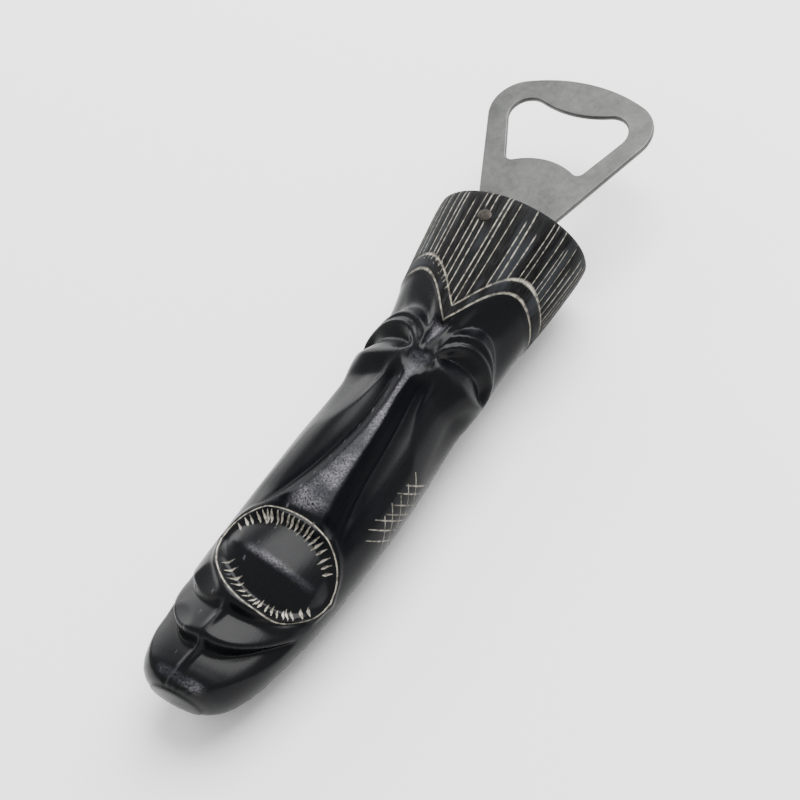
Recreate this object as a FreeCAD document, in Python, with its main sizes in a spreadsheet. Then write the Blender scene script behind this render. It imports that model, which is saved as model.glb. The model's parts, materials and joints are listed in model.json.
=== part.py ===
"""Souvenir bottle opener: a stamped plate pinned into a carved handle.

Drawing frame: X across the plate, Y along it towards the opener's tip, Z out of its front face, with
the plate's opening at the origin.  Every piece is drawn there.  One common placement then lays the
whole opener on its back, resting on the crown and the chin, with the origin under its middle.
"""
import FreeCAD
import Part
import math
import os
import Sketcher

Vector = FreeCAD.Vector
Rotation = FreeCAD.Rotation
Placement = FreeCAD.Placement

doc = FreeCAD.newDocument("bottle_opener")

# ---------------------------------------------------------------- driving dimensions (mm, degrees)
sheet = doc.addObject("Spreadsheet::Sheet", "Sizes")

SIZES = {
    # stamped plate
    "plate_thick": 1.2,
    "blade_arc_radius": 38.0,
    "blade_corner_across": 11.3,
    "blade_corner_along": 5.4,
    "blade_corner_radius": 8.5,
    "neck_half_width": 7.3,
    "blade_edge_round": 0.35,
    # opening: two ears, a lobe above that rests on the cap and a tongue below that hooks under it
    "ear_across": 10.0,
    "ear_along": 4.4,
    "ear_radius": 4.5,
    "lobe_radius": 25.0,
    "foot_across": 8.2,
    "foot_along": 6.6,
    "foot_radius": 1.6,
    "tongue_radius": 15.5,
    # hidden tang
    "rim_along": 26.5,
    "tang_half_width": 7.0,
    "tang_length": 26.0,
    "tang_hole_radius": 1.25,
    # slot sawn in the handle, and the glue bed that fills it
    "glue_gap": 0.3,
    # cross pin
    "pin_radius": 1.15,
    "pin_across": 2.2,
    "pin_inset": 6.0,
    "pin_length": 29.4,
    "pin_end_chamfer": 0.1,
    "pin_bore_length": 40.0,
    # carved handle
    "handle_length": 122.0,
    "section_depth_ratio": 0.86,
    "axis_start_across": 2.3,
    "axis_bend": 13.3,
    "axis_bend_power": 1.8,
    "face_turn": 14.0,
    "mouth_turn": 21.0,
    "mouth_from_rim": 91.0,
    "mouth_half_width": 13.0,
    "mouth_half_length": 10.4,
    "mouth_depth": 1.3,
    "mouth_well_start": 2.0,
    "mouth_well_reach": 20.0,
    # gouged hollows: place from the rim, angle off the face's middle, lift of the gouge off the skin,
    # and its half sizes across, along and square to the skin
    "brow_from_rim": 27.0,
    "brow_angle": 40.0,
    "brow_lift": 2.0,
    "brow_across": 9.0,
    "brow_along": 6.0,
    "brow_deep": 3.2,
    "eye_from_rim": 37.0,
    "eye_angle": 50.0,
    "eye_lift": 1.6,
    "eye_across": 8.0,
    "eye_along": 3.2,
    "eye_deep": 3.2,
    "cheek_from_rim": 58.0,
    "cheek_angle": 24.0,
    "cheek_lift": 1.8,
    "cheek_across": 3.6,
    "cheek_along": 16.0,
    "cheek_deep": 3.0,
    "lip_from_rim": 104.5,
    "lip_lift": 1.6,
    "lip_across": 9.0,
    "lip_along": 2.8,
    "lip_deep": 2.8,
    "chin_from_rim": 112.5,
    "chin_lift": 1.4,
    "chin_across": 8.0,
    "chin_along": 2.4,
    "chin_deep": 2.6,
    # the two bands of the handle that touch the ground, from the rim
    "crown_rest_near": 1.5,
    "crown_rest_far": 3.5,
    "chin_rest_near": 105.5,
    "chin_rest_far": 109.5,
}
TOUCHING = 0.01

for row, (alias, value) in enumerate(SIZES.items(), start=1):
    sheet.set("A%d" % row, alias)
    sheet.set("B%d" % row, str(value))
    sheet.setAlias("B%d" % row, alias)
doc.recompute()


def size(alias):
    """The number held in one cell of the sheet."""
    return float(sheet.get(alias))


# ---------------------------------------------------------------- opener plate
def plane_of(body, role):
    """One of the body's own origin planes."""
    return next(item for item in body.Origin.OriginFeatures if item.Role == role)


def new_sketch(body, name, role):
    """A sketch on one of the body's origin planes."""
    sketch = body.newObject("Sketcher::SketchObject", name)
    sketch.AttachmentSupport = [(plane_of(body, role), "")]
    sketch.MapMode = "FlatFace"
    return sketch


def bind(sketch, constraint, name, alias):
    """Add a dimension to the sketch and drive it from the sheet."""
    index = sketch.addConstraint(constraint)
    sketch.renameConstraint(index, name)
    sketch.setExpression("Constraints." + name, "Sizes." + alias)


def arc_between(centre, radius, start, end):
    """The counter-clockwise arc about centre from the direction of start to that of end."""
    first = math.atan2(start.y - centre.y, start.x - centre.x)
    last = math.atan2(end.y - centre.y, end.x - centre.x)
    if last < first:
        last += 2 * math.pi
    return Part.ArcOfCircle(Part.Circle(centre, Vector(0, 0, 1), radius), first, last)


def mirrored(point):
    """The same point on the other side of the plate's centre line."""
    return Vector(-point.x, point.y, 0)


def touch_inside(point, centre, radius):
    """Where the tangent from a point below meets the right-hand side of a circle."""
    reach = centre - point
    turn = math.asin(radius / reach.Length)
    length = math.sqrt(reach.Length ** 2 - radius ** 2)
    bearing = math.atan2(reach.y, reach.x) - turn
    return point + Vector(math.cos(bearing), math.sin(bearing), 0) * length


def build_blade_sketch(body):
    """The plate's outside: a shallow top arc, two round corners and straight flanks down to the rim."""
    corner = Vector(size("blade_corner_across"), size("blade_corner_along"), 0)
    radius = size("blade_corner_radius")
    big = size("blade_arc_radius")
    top = Vector(0, corner.y - math.sqrt((big - radius) ** 2 - corner.x ** 2), 0)
    join = top + (corner - top).normalize() * big
    neck = Vector(size("neck_half_width"), -size("rim_along"), 0)
    flank = touch_inside(neck, corner, radius)

    sketch = new_sketch(body, "BladeOutline", "XY_Plane")
    geometry = [
        arc_between(top, big, join, mirrored(join)),
        arc_between(mirrored(corner), radius, mirrored(join), mirrored(flank)),
        Part.LineSegment(mirrored(flank), mirrored(neck)),
        Part.LineSegment(mirrored(neck), neck),
        Part.LineSegment(neck, flank),
        arc_between(corner, radius, flank, join),
    ]
    sketch.addGeometry(geometry, False)
    for first, second in ((0, 1), (1, 2), (4, 5), (5, 0)):
        sketch.addConstraint(Sketcher.Constraint("Tangent", first, 2, second, 1))
    sketch.addConstraint(Sketcher.Constraint("Coincident", 2, 2, 3, 1))
    sketch.addConstraint(Sketcher.Constraint("Coincident", 3, 2, 4, 1))
    sketch.addConstraint(Sketcher.Constraint("Symmetric", 3, 1, 3, 2, -2))
    sketch.addConstraint(Sketcher.Constraint("Symmetric", 1, 3, 5, 3, -2))
    sketch.addConstraint(Sketcher.Constraint("Equal", 1, 5))
    bind(sketch, Sketcher.Constraint("Radius", 0, big), "top_arc", "blade_arc_radius")
    bind(sketch, Sketcher.Constraint("Radius", 5, radius), "corner", "blade_corner_radius")
    bind(sketch, Sketcher.Constraint("DistanceX", 5, 3, corner.x), "corner_across", "blade_corner_across")
    bind(sketch, Sketcher.Constraint("DistanceY", 5, 3, corner.y), "corner_along", "blade_corner_along")
    bind(sketch, Sketcher.Constraint("DistanceX", 3, 2, neck.x), "neck", "neck_half_width")
    bind(sketch, Sketcher.Constraint("DistanceY", 3, 2, -1, 1, -neck.y), "rim", "rim_along")
    return sketch


def build_opening_sketch(body):
    """The cap opening: lobe and tongue bulge into it, ears and feet are its four round corners."""
    ear = Vector(size("ear_across"), size("ear_along"), 0)
    ear_radius = size("ear_radius")
    foot = Vector(size("foot_across"), -size("foot_along"), 0)
    foot_radius = size("foot_radius")
    lobe_reach = size("lobe_radius") + ear_radius
    lobe = Vector(0, ear.y + math.sqrt(lobe_reach ** 2 - ear.x ** 2), 0)
    tongue_reach = size("tongue_radius") + foot_radius
    tongue = Vector(0, foot.y - math.sqrt(tongue_reach ** 2 - foot.x ** 2), 0)
    lobe_join = lobe + (ear - lobe).normalize() * size("lobe_radius")
    foot_join = tongue + (foot - tongue).normalize() * size("tongue_radius")
    # the straight side touches the foot and the ear circles from outside
    span = ear - foot
    lean = math.atan2(span.y, span.x) - math.asin((ear_radius - foot_radius) / span.Length)
    normal = Vector(math.sin(lean), -math.cos(lean), 0)
    side_low = foot + normal * foot_radius
    side_high = ear + normal * ear_radius

    sketch = new_sketch(body, "OpeningOutline", "XY_Plane")
    geometry = [
        arc_between(lobe, size("lobe_radius"), mirrored(lobe_join), lobe_join),
        arc_between(ear, ear_radius, side_high, lobe_join),
        Part.LineSegment(side_low, side_high),
        arc_between(foot, foot_radius, foot_join, side_low),
        arc_between(tongue, size("tongue_radius"), foot_join, mirrored(foot_join)),
        arc_between(mirrored(foot), foot_radius, mirrored(side_low), mirrored(foot_join)),
        Part.LineSegment(mirrored(side_high), mirrored(side_low)),
        arc_between(mirrored(ear), ear_radius, mirrored(lobe_join), mirrored(side_high)),
    ]
    sketch.addGeometry(geometry, False)
    joins = ((0, 2, 1, 2), (1, 1, 2, 2), (2, 1, 3, 2), (3, 1, 4, 1),
             (4, 2, 5, 2), (5, 1, 6, 2), (6, 1, 7, 2), (7, 1, 0, 1))
    for first, first_end, second, second_end in joins:
        sketch.addConstraint(Sketcher.Constraint("Tangent", first, first_end, second, second_end))
    for left, right in ((7, 1), (5, 3)):
        sketch.addConstraint(Sketcher.Constraint("Symmetric", left, 3, right, 3, -2))
        sketch.addConstraint(Sketcher.Constraint("Equal", left, right))
    bind(sketch, Sketcher.Constraint("Radius", 0, size("lobe_radius")), "lobe", "lobe_radius")
    bind(sketch, Sketcher.Constraint("Radius", 4, size("tongue_radius")), "tongue", "tongue_radius")
    bind(sketch, Sketcher.Constraint("Radius", 1, ear_radius), "ear", "ear_radius")
    bind(sketch, Sketcher.Constraint("Radius", 3, foot_radius), "foot", "foot_radius")
    bind(sketch, Sketcher.Constraint("DistanceX", 1, 3, ear.x), "ear_x", "ear_across")
    bind(sketch, Sketcher.Constraint("DistanceY", 1, 3, ear.y), "ear_y", "ear_along")
    bind(sketch, Sketcher.Constraint("DistanceX", 3, 3, foot.x), "foot_x", "foot_across")
    bind(sketch, Sketcher.Constraint("DistanceY", 3, 3, -1, 1, -foot.y), "foot_y", "foot_along")
    return sketch


def build_tang_sketch(body):
    """The plain strip that runs down inside the handle."""
    half = size("tang_half_width")
    top = -size("rim_along")
    bottom = top - size("tang_length")
    corners = [Vector(-half, top, 0), Vector(-half, bottom, 0), Vector(half, bottom, 0), Vector(half, top, 0)]
    sketch = new_sketch(body, "TangOutline", "XY_Plane")
    sketch.addGeometry([Part.LineSegment(corners[i], corners[(i + 1) % 4]) for i in range(4)], False)
    for i in range(4):
        sketch.addConstraint(Sketcher.Constraint("Coincident", i, 2, (i + 1) % 4, 1))
    sketch.addConstraint(Sketcher.Constraint("Vertical", 0))
    sketch.addConstraint(Sketcher.Constraint("Vertical", 2))
    sketch.addConstraint(Sketcher.Constraint("Symmetric", 1, 1, 1, 2, -2))
    sketch.addConstraint(Sketcher.Constraint("Horizontal", 3))
    bind(sketch, Sketcher.Constraint("DistanceX", 1, 2, half), "half", "tang_half_width")
    bind(sketch, Sketcher.Constraint("DistanceY", 3, 1, -1, 1, -top), "rim", "rim_along")
    bind(sketch, Sketcher.Constraint("DistanceY", 2, 1, 2, 2, top - bottom), "length", "tang_length")
    return sketch


def build_pin_hole_sketch(body):
    """The punched hole in the tang for the cross pin."""
    sketch = new_sketch(body, "PinHoleOutline", "XY_Plane")
    centre = Vector(size("pin_across"), -size("rim_along") - size("pin_inset"), 0)
    sketch.addGeometry(Part.Circle(centre, Vector(0, 0, 1), size("tang_hole_radius")), False)
    bind(sketch, Sketcher.Constraint("DistanceX", 0, 3, centre.x), "across", "pin_across")
    bind(sketch, Sketcher.Constraint("Radius", 0, size("tang_hole_radius")), "hole", "tang_hole_radius")
    sketch.addConstraint(Sketcher.Constraint("DistanceY", 0, 3, -1, 1, -centre.y))
    sketch.renameConstraint(sketch.ConstraintCount - 1, "down")
    sketch.setExpression("Constraints.down", "Sizes.rim_along + Sizes.pin_inset")
    return sketch


def pad(body, name, sketch):
    """Pad a sketch by the plate's thickness, half to each side of the drawing plane."""
    feature = body.newObject("PartDesign::Pad", name)
    feature.Profile = sketch
    feature.Midplane = True
    feature.setExpression("Length", "Sizes.plate_thick")
    doc.recompute()


def pocket(body, name, sketch):
    """Punch a sketch right through, and see that it took metal away."""
    before = body.Shape.Volume
    feature = body.newObject("PartDesign::Pocket", name)
    feature.Profile = sketch
    feature.Type = "ThroughAll"
    feature.Midplane = True
    doc.recompute()
    if body.Shape.Volume >= before:
        raise RuntimeError(name + " cuts nothing")


def build_plate():
    """Stainless plate, stamped in one piece with its tang, with rubbed-down edges on the blade."""
    body = doc.addObject("PartDesign::Body", "OpenerPlate")
    body.Label = "opener_plate"
    pad(body, "BladePad", build_blade_sketch(body))
    pocket(body, "OpeningPocket", build_opening_sketch(body))
    above_rim = -size("rim_along") + TOUCHING
    half_thick = size("plate_thick") / 2
    rounded = []
    punched = body.Tip
    for number, edge in enumerate(punched.Shape.Edges, start=1):
        box = edge.BoundBox
        flat = box.ZMax - box.ZMin < TOUCHING and abs(abs(box.ZMin) - half_thick) < TOUCHING
        if flat and box.YMax > above_rim:
            rounded.append("Edge%d" % number)
    fillet = body.newObject("PartDesign::Fillet", "RubbedEdges")
    fillet.Base = (punched, rounded)
    fillet.setExpression("Radius", "Sizes.blade_edge_round")
    doc.recompute()
    pad(body, "TangPad", build_tang_sketch(body))
    pocket(body, "PinHolePocket", build_pin_hole_sketch(body))
    return body


# ---------------------------------------------------------------- carved handle
# Half widths of the blank at distances from the crown's rim: a flaring crown, a waist at the eyes and
# nose, a fuller mouth and a rounded chin.
STATIONS = (
    (0.0, 17.6), (12.0, 16.7), (24.0, 15.2), (36.0, 14.5), (50.0, 13.8), (66.0, 14.6),
    (84.0, 14.6), (98.0, 14.1), (108.0, 12.8), (116.0, 11.2), (120.0, 8.5), (122.0, 5.0),
)


def axis_across(distance):
    """How far the blank's bent axis lies off the plate's centre line."""
    bend = size("axis_bend") * (distance / size("handle_length")) ** size("axis_bend_power")
    return size("axis_start_across") - bend


def half_width(distance):
    """Half width of the blank between two stations."""
    for (near, wide), (far, narrow) in zip(STATIONS, STATIONS[1:]):
        if distance <= far:
            return wide + (narrow - wide) * (distance - near) / (far - near)
    return STATIONS[-1][1]


def build_blank(name, inset):
    """Loft the blank through elliptical sections, all brought in by one inset."""
    sections = []
    for index, (distance, wide) in enumerate(STATIONS):
        ring = doc.addObject("Part::Ellipse", "%sSection%02d" % (name, index))
        ring.MajorRadius = wide - inset
        ring.setExpression("MinorRadius", "MajorRadius * Sizes.section_depth_ratio")
        place = Vector(axis_across(distance), -size("rim_along") - distance, 0)
        ring.Placement = Placement(place, Rotation(Vector(1, 0, 0), 90))
        sections.append(ring)
    loft = doc.addObject("Part::Loft", name)
    loft.Sections = sections
    loft.Solid = True
    loft.Ruled = False
    return loft


def on_blank(distance, angle, lift):
    """A point above the blank's surface, angle degrees round from the plate's front."""
    turn = math.radians(angle)
    wide = half_width(distance)
    deep = wide * size("section_depth_ratio")
    return Vector(
        axis_across(distance) + (wide + lift) * math.sin(turn),
        -size("rim_along") - distance,
        (deep + lift) * math.cos(turn),
    )


def gouge(name, feature, angle):
    """An ellipsoid that scoops one hollow of the face, its short axis square to the surface."""
    scoop = doc.addObject("Part::Ellipsoid", name)
    scoop.setExpression("Radius1", "Sizes.%s_deep" % feature)
    scoop.setExpression("Radius2", "Sizes.%s_across" % feature)
    scoop.setExpression("Radius3", "Sizes.%s_along" % feature)
    place = on_blank(size(feature + "_from_rim"), angle, size(feature + "_lift"))
    scoop.Placement = Placement(place, Rotation(Vector(0, 1, 0), angle))
    return scoop


def slot_room(name):
    """The box of the slot sawn in the crown's end: the tang with the glue's gap all round."""
    room = doc.addObject("Part::Box", name)
    room.setExpression("Length", "2 * (Sizes.tang_half_width + Sizes.glue_gap)")
    room.setExpression("Width", "Sizes.tang_length + Sizes.glue_gap")
    room.setExpression("Height", "Sizes.plate_thick + 2 * Sizes.glue_gap")
    room.setExpression("Placement.Base.x", "-Sizes.tang_half_width - Sizes.glue_gap")
    room.setExpression("Placement.Base.y", "-Sizes.rim_along - Sizes.tang_length - Sizes.glue_gap")
    room.setExpression("Placement.Base.z", "-Sizes.plate_thick / 2 - Sizes.glue_gap")
    return room


def pin_rod(name, radius, length):
    """A round rod on the cross pin's axis, centred on the plate; radius and length name sheet cells."""
    rod = doc.addObject("Part::Cylinder", name)
    rod.setExpression("Radius", "Sizes." + radius)
    rod.setExpression("Height", "Sizes." + length)
    rod.setExpression("Placement.Base.x", "Sizes.pin_across")
    rod.setExpression("Placement.Base.y", "-Sizes.rim_along - Sizes.pin_inset")
    rod.setExpression("Placement.Base.z", "-Sizes.%s / 2" % length)
    return rod


def boolean(kind, name, base, tool):
    """A Part boolean of two objects."""
    feature = doc.addObject(kind, name)
    feature.Base = base
    feature.Tool = tool
    return feature


def build_handle():
    """Solid carved handle: crown, sunk eyes and cheeks beside a nose ridge, sunk mouth, stepped chin."""
    blank = build_blank("Blank", 0.0)
    core = build_blank("MouthFloorBlank", size("mouth_depth"))

    lips = doc.addObject("Part::Ellipse", "LipOutline")
    lips.setExpression("MajorRadius", "Sizes.mouth_half_width")
    lips.setExpression("MinorRadius", "Sizes.mouth_half_length")
    turn = Rotation(Vector(0, 1, 0), size("mouth_turn"))
    axis_point = Vector(axis_across(size("mouth_from_rim")), -size("rim_along") - size("mouth_from_rim"), 0)
    lips.Placement = Placement(axis_point + turn.multVec(Vector(0, 0, size("mouth_well_start"))), turn)
    well = doc.addObject("Part::Extrusion", "MouthWell")
    well.Base = lips
    well.DirMode = "Normal"
    well.setExpression("LengthFwd", "Sizes.mouth_well_reach")
    well.Solid = True
    mouth_floor = boolean("Part::Common", "MouthFloor", well, core)
    opened = boolean("Part::Cut", "OpenedBlank", blank, well)
    faced = boolean("Part::Fuse", "FacedBlank", opened, mouth_floor)

    tools = []
    for side, name in ((-1, "Left"), (1, "Right")):
        for feature in ("brow", "eye", "cheek"):
            angle = size("face_turn") + side * size(feature + "_angle")
            tools.append(gouge(name + feature.title(), feature, angle))
    tools.append(gouge("LipShelf", "lip", size("mouth_turn")))
    tools.append(gouge("ChinStep", "chin", size("mouth_turn")))
    tools.append(slot_room("TangSlot"))
    tools.append(pin_rod("PinBore", "pin_radius", "pin_bore_length"))

    cuts = doc.addObject("Part::MultiFuse", "HandleCuts")
    cuts.Shapes = tools
    handle = boolean("Part::Cut", "Handle", faced, cuts)
    handle.Label = "handle"
    doc.recompute()
    return handle


# ---------------------------------------------------------------- cross pin and glue bed
def build_pin():
    """Metal pin through the crown and the tang, dressed flush with the crown front and back."""
    pin = pin_rod("CrossPin", "pin_radius", "pin_length")
    ends = doc.addObject("Part::Chamfer", "CrossPinDressed")
    ends.Base = pin
    doc.recompute()
    cut = size("pin_end_chamfer")
    ends.Edges = [(number, cut, cut) for number, edge in enumerate(pin.Shape.Edges, start=1) if edge.Closed]
    ends.Label = "cross_pin"
    doc.recompute()
    return ends


def build_glue():
    """The glue that fills the slot round the tang: a thin open-topped sleeve."""
    strip = doc.addObject("Part::Box", "TangRoom")
    strip.setExpression("Length", "2 * Sizes.tang_half_width")
    strip.setExpression("Width", "Sizes.tang_length")
    strip.setExpression("Height", "Sizes.plate_thick")
    strip.setExpression("Placement.Base.x", "-Sizes.tang_half_width")
    strip.setExpression("Placement.Base.y", "-Sizes.rim_along - Sizes.tang_length")
    strip.setExpression("Placement.Base.z", "-Sizes.plate_thick / 2")
    hole = pin_rod("GluePinRoom", "tang_hole_radius", "pin_bore_length")
    rooms = boolean("Part::Fuse", "GlueRooms", strip, hole)
    glue = boolean("Part::Cut", "SlotGlue", slot_room("GlueBed"), rooms)
    glue.Label = "slot_adhesive"
    doc.recompute()
    return glue


# ---------------------------------------------------------------- assembly placement and output
def band_box(shape, near, far):
    """Bounding box of the shape between two distances from the rim."""
    wide = shape.BoundBox.DiagonalLength
    corner = Vector(-wide, -size("rim_along") - far, -wide)
    return shape.common(Part.makeBox(2 * wide, far - near, 2 * wide, corner)).BoundBox


def lay_down(pieces, handle):
    """Turn every piece alike until crown and chin rest on the ground, then centre the whole on it."""
    crown = band_box(handle.Shape, size("crown_rest_near"), size("crown_rest_far"))
    chin = band_box(handle.Shape, size("chin_rest_near"), size("chin_rest_far"))
    fall = chin.ZMin - crown.ZMin
    pitch = math.degrees(math.atan2(fall, crown.Center.y - chin.Center.y))
    turn = Rotation(Vector(1, 0, 0), pitch)
    for piece in pieces:
        piece.Placement = Placement(Vector(0, 0, 0), turn)
    whole = FreeCAD.BoundBox()
    for piece in pieces:
        whole.add(piece.Shape.optimalBoundingBox(False))
    shift = Vector(-whole.Center.x, -whole.Center.y, -whole.ZMin)
    for piece in pieces:
        piece.Placement = Placement(shift, turn)
    print("pitch %.3f shift %.3f %.3f %.3f" % (pitch, shift.x, shift.y, shift.z))


def check_document(pieces):
    """No object may be failed, and every piece must be one good solid."""
    doc.recompute()
    for item in doc.Objects:
        if "Invalid" in item.State or "Error" in item.State:
            raise RuntimeError("%s failed: %s" % (item.Label, item.State))
    for piece in pieces:
        if piece.Shape.isNull() or not piece.Shape.isValid() or len(piece.Shape.Solids) != 1:
            raise RuntimeError("%s is not one valid solid" % piece.Label)


handle = build_handle()
pieces = [handle, build_plate(), build_pin(), build_glue()]
lay_down(pieces, handle)
check_document(pieces)

os.makedirs("parts", exist_ok=True)
for piece in pieces:
    piece.Shape.exportStep("parts/%s.step" % piece.Label)
    print("%s %.1f mm3" % (piece.Label, piece.Shape.Volume))
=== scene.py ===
import json
import math
import random

import bmesh
import bpy
import numpy as np
from mathutils import Matrix, Vector


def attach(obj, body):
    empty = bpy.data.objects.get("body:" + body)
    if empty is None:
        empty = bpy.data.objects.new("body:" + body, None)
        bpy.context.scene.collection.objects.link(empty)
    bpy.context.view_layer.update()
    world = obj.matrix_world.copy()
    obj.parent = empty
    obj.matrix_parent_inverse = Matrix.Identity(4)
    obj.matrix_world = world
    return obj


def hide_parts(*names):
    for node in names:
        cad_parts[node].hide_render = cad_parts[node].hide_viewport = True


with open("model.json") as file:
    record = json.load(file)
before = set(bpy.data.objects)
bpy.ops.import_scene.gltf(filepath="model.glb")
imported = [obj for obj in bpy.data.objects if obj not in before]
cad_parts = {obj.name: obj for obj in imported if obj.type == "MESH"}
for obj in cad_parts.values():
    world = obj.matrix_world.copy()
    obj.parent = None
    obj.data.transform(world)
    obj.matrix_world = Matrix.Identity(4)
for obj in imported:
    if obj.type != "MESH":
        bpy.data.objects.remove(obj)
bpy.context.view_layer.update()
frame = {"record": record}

# Souvenir bottle opener: carved black handle, stamped steel plate, cross pin and slot glue.
MM = 0.001

# ------------------------------------------------------------------ the drawing frame of the opener
# Every piece is drawn about the middle of the plate's opening: X across the plate, Y towards its tip,
# Z out of its front face.  The cap mouth's mount gives that place and the plate's normal.
cap_mouth = frame["record"]["mounts"][0]
plate_normal = Vector(cap_mouth["axis"])
plate_frame = (
    Matrix.Translation(Vector(cap_mouth["pos_m"]))
    @ Matrix.Rotation(math.atan2(-plate_normal.y, plate_normal.z), 4, "X")
)

# ------------------------------------------------------------------ carved handle
# One solid blank of dense black wood, turned to a flaring crown and carved by gouge into a mask:
# hairline, brows, almond eyes, long nose, toothed mouth and stepped chin.  Cuts are left pale, the
# rest is polished.  A sawn slot in the crown's end takes the plate's tang.
# Places on it are mm along from the crown's rim and degrees of turn round from the face's middle.
RIM_Y = -26.5
HANDLE_LENGTH = 122.0
DEPTH_RATIO = 0.86
FACE_TURN = 14.0
# the blank's half width at each place along
BLANK = (
    (0.0, 17.6), (4.0, 17.5), (9.0, 17.05), (15.0, 16.4), (21.0, 15.6), (27.0, 14.9), (34.0, 14.6),
    (40.0, 14.2), (47.0, 13.8), (54.0, 14.0), (62.0, 14.5), (72.0, 14.7), (86.0, 14.6), (94.0, 14.4),
    (101.0, 13.9), (107.0, 13.1), (112.0, 12.3), (115.0, 11.4), (117.5, 10.3), (119.5, 8.7), (120.9, 6.5),
    (121.7, 3.9), (122.0, 0.0),
)
AXIS_START = 2.3
AXIS_BEND = 13.3
AXIS_POWER = 1.8
SLOT_HALF = (7.3, 0.9)
PIN_SPOT = (2.2, 6.0)
PIN_RADIUS = 1.15
PIN_CLEAR = 1.7
CROWN_MM_PER_DEGREE = 0.29


def through(points, where):
    """A smooth curve through a short list of points, read at many places."""
    xs = np.array([p[0] for p in points])
    ys = np.array([p[1] for p in points])
    slopes = np.gradient(ys, xs)
    slopes[-1] = (ys[-1] - ys[-2]) / (xs[-1] - xs[-2])
    where = np.clip(where, xs[0], xs[-1])
    k = np.clip(np.searchsorted(xs, where, side="right") - 1, 0, len(xs) - 2)
    span = xs[k + 1] - xs[k]
    t = (where - xs[k]) / span
    return ((2 * t**3 - 3 * t**2 + 1) * ys[k] + (t**3 - 2 * t**2 + t) * span * slopes[k]
            + (3 * t**2 - 2 * t**3) * ys[k + 1] + (t**3 - t**2) * span * slopes[k + 1])


def ramp(low, high, value):
    """0 below low, 1 above high, smooth between."""
    t = np.clip((value - low) / (high - low), 0.0, 1.0)
    return t * t * (3 - 2 * t)


def deeper(first, second, soft):
    """The deeper of two cuts, with the edge between them eased over a little depth."""
    mix = np.clip(0.5 + 0.5 * (second - first) / soft, 0.0, 1.0)
    return second * (1 - mix) + first * mix - soft * mix * (1 - mix)


def gouge(along, turn, at, half, deep, lean=0.0):
    """A hollow with an elliptical rim: middle and half sizes as (mm along, degrees round)."""
    off = along - at[0] - lean * (turn - at[1])
    q = (off / half[0]) ** 2 + ((turn - at[1]) / half[1]) ** 2
    return -deep * (1 - q)


def step_down(along, top, bottom, deep, brink):
    """A carved step: it falls away over the brink share of its width, then rises to a crisp edge."""
    w = np.clip((along - top) / np.maximum(bottom - top, 0.4), 0, 1)
    return -deep * ramp(-0.15 * brink, brink, w) * np.clip((1 - w) / (1 - brink), 0, 1) * ramp(0.0, 0.08, w)


# the lower hairline groove on each half of the face: (turn, along)
HAIR_RIGHT = (
    (0.0, 30.8), (6.0, 28.2), (14.0, 24.5), (24.0, 20.9), (34.0, 19.1), (42.0, 18.7), (52.0, 19.2),
    (66.0, 20.5), (84.0, 22.0), (110.0, 23.5), (145.0, 24.4), (190.0, 24.6),
)
HAIR_LEFT = (
    (0.0, 30.8), (7.0, 28.6), (16.0, 25.6), (26.0, 22.8), (36.0, 21.0), (46.0, 20.3), (56.0, 20.6),
    (70.0, 21.5), (90.0, 22.6), (110.0, 23.5), (145.0, 24.4), (190.0, 24.6),
)
HAIR_BAND = 3.5


def hairline(turn):
    """Where the lower hairline groove runs: a V on the forehead between two round arches."""
    return np.where(turn < 0, through(HAIR_LEFT, np.abs(turn)), through(HAIR_RIGHT, np.abs(turn)))


MOUTH_ALONG = 91.0
MOUTH_TURN = 7.0
MOUTH_LEAN = 1.2
MOUTH_TILT = 0.012
MOUTH_HALF = 10.4
MOUTH_REACH = 64.0


def mouth_half(across):
    """Half the mouth's opening along the handle, at so many degrees round from its middle."""
    return MOUTH_HALF * np.clip(1 - np.abs(across / MOUTH_REACH) ** 2.3, 0, 1) ** 0.75


def mouth_edge(along, turn):
    """Distance in from the mouth's outline (mm), and how far round from its middle (degrees)."""
    across = turn - MOUTH_TURN - MOUTH_LEAN * (along - MOUTH_ALONG)
    middle = MOUTH_ALONG + MOUTH_TILT * across
    outside = np.clip(np.abs(across) - MOUTH_REACH, 0, None) * 0.25
    return mouth_half(across) - np.abs(along - middle) - outside, across


# edges of brow and lids, the same on both halves: (turn, along)
BROW_LINE = (
    (0.0, 36.4), (10.0, 34.2), (19.0, 32.4), (30.0, 31.4), (39.0, 31.2), (52.0, 31.9), (66.0, 33.4),
    (80.0, 36.0), (95.0, 40.0),
)
UPPER_LID = (
    (0.0, 39.6), (8.0, 38.4), (18.0, 35.6), (28.0, 33.9), (46.0, 33.3), (62.0, 34.0), (76.0, 35.6),
    (92.0, 39.4),
)
LOWER_LID = ((0.0, 39.8), (14.0, 39.6), (24.0, 40.3), (45.0, 41.4), (68.0, 41.6), (88.0, 40.2))
# the nose's ridge and the crease beside it: (along, turn), and the crease's depth: (along, mm)
NOSE_HALF = (
    (38.0, 9.0), (41.0, 9.5), (44.5, 3.6), (48.0, 2.4), (58.0, 4.6), (66.0, 7.8), (72.0, 11.5), (78.0, 17.5),
)
NOSE_MIDDLE = ((38.0, 1.0), (46.0, 0.5), (58.0, 3.0), (70.0, 0.5), (78.0, -2.5))
CREASE = ((42.0, 14.0), (50.0, 16.0), (58.0, 19.0), (64.0, 22.5), (70.0, 27.0), (75.0, 33.0), (84.0, 44.0))
CREASE_DEPTH = ((40.0, 0.6), (46.0, 1.7), (56.0, 2.3), (68.0, 2.3), (75.0, 1.9), (84.0, 0.9))
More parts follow.
